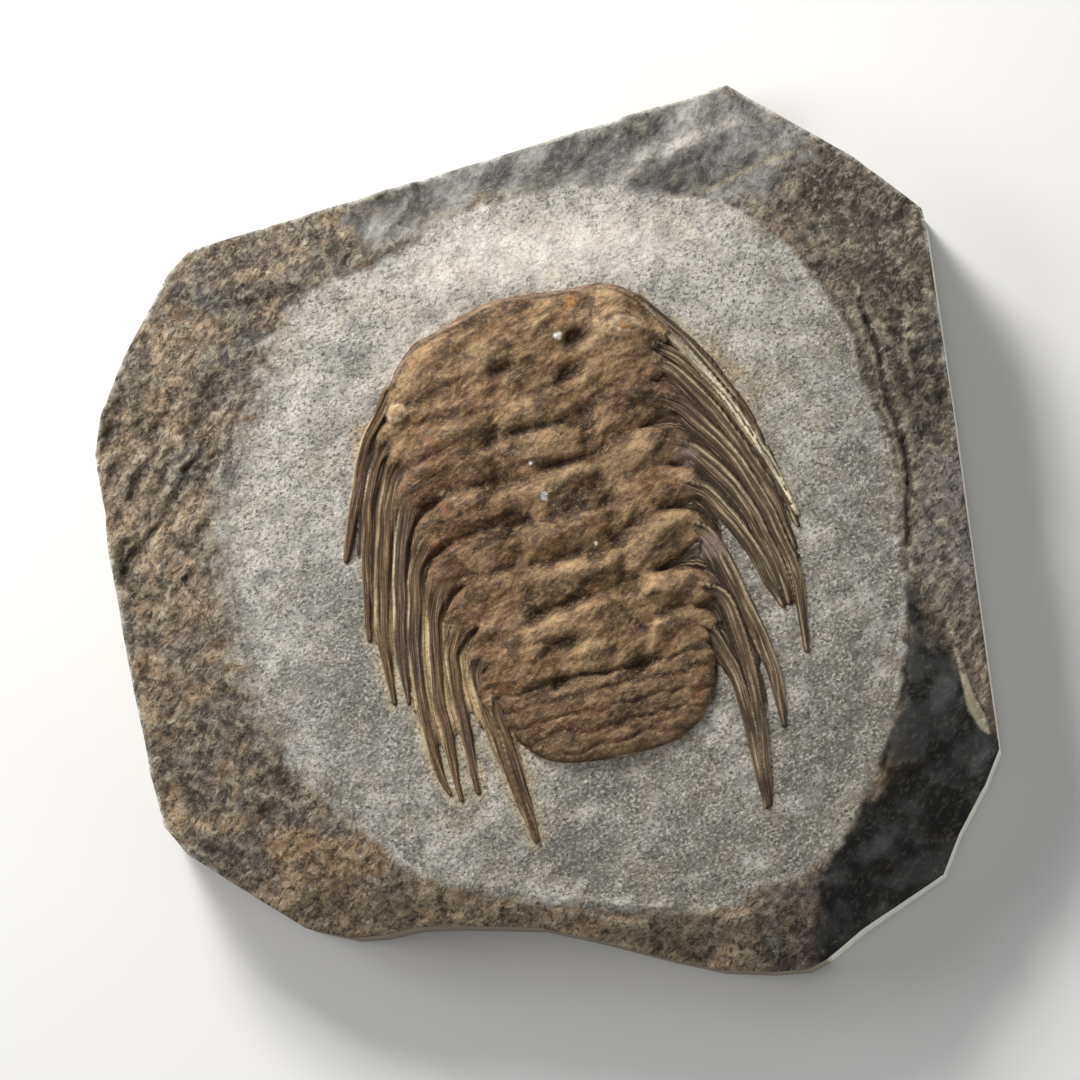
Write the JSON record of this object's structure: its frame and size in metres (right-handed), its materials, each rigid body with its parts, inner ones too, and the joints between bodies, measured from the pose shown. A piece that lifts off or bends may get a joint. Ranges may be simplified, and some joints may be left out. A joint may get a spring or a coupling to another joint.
{
  "type": "trilobite fossil",
  "caption": "Long-spined trilobite fossil in low relief on a pale worked-over area of a sawn and chipped block of its rock, lying on its flat back.",
  "frame": {"origin": "centre of the bounding box on the flat sawn back, which is the underside", "axes": "+Z out of the face that carries the fossil, +Y towards the animal's head, +X to the right seen from above"},
  "size_m": [0.1804, 0.177, 0.0364],
  "materials": {
    "rock": "rough, with a pale worked-over area",
    "fossil_shell": "matt ochre brown"
  },
  "bodies": {
    "root": {"matrix_slab": "rock", "trilobite": "fossil_shell"}
  },
  "joints": []
}
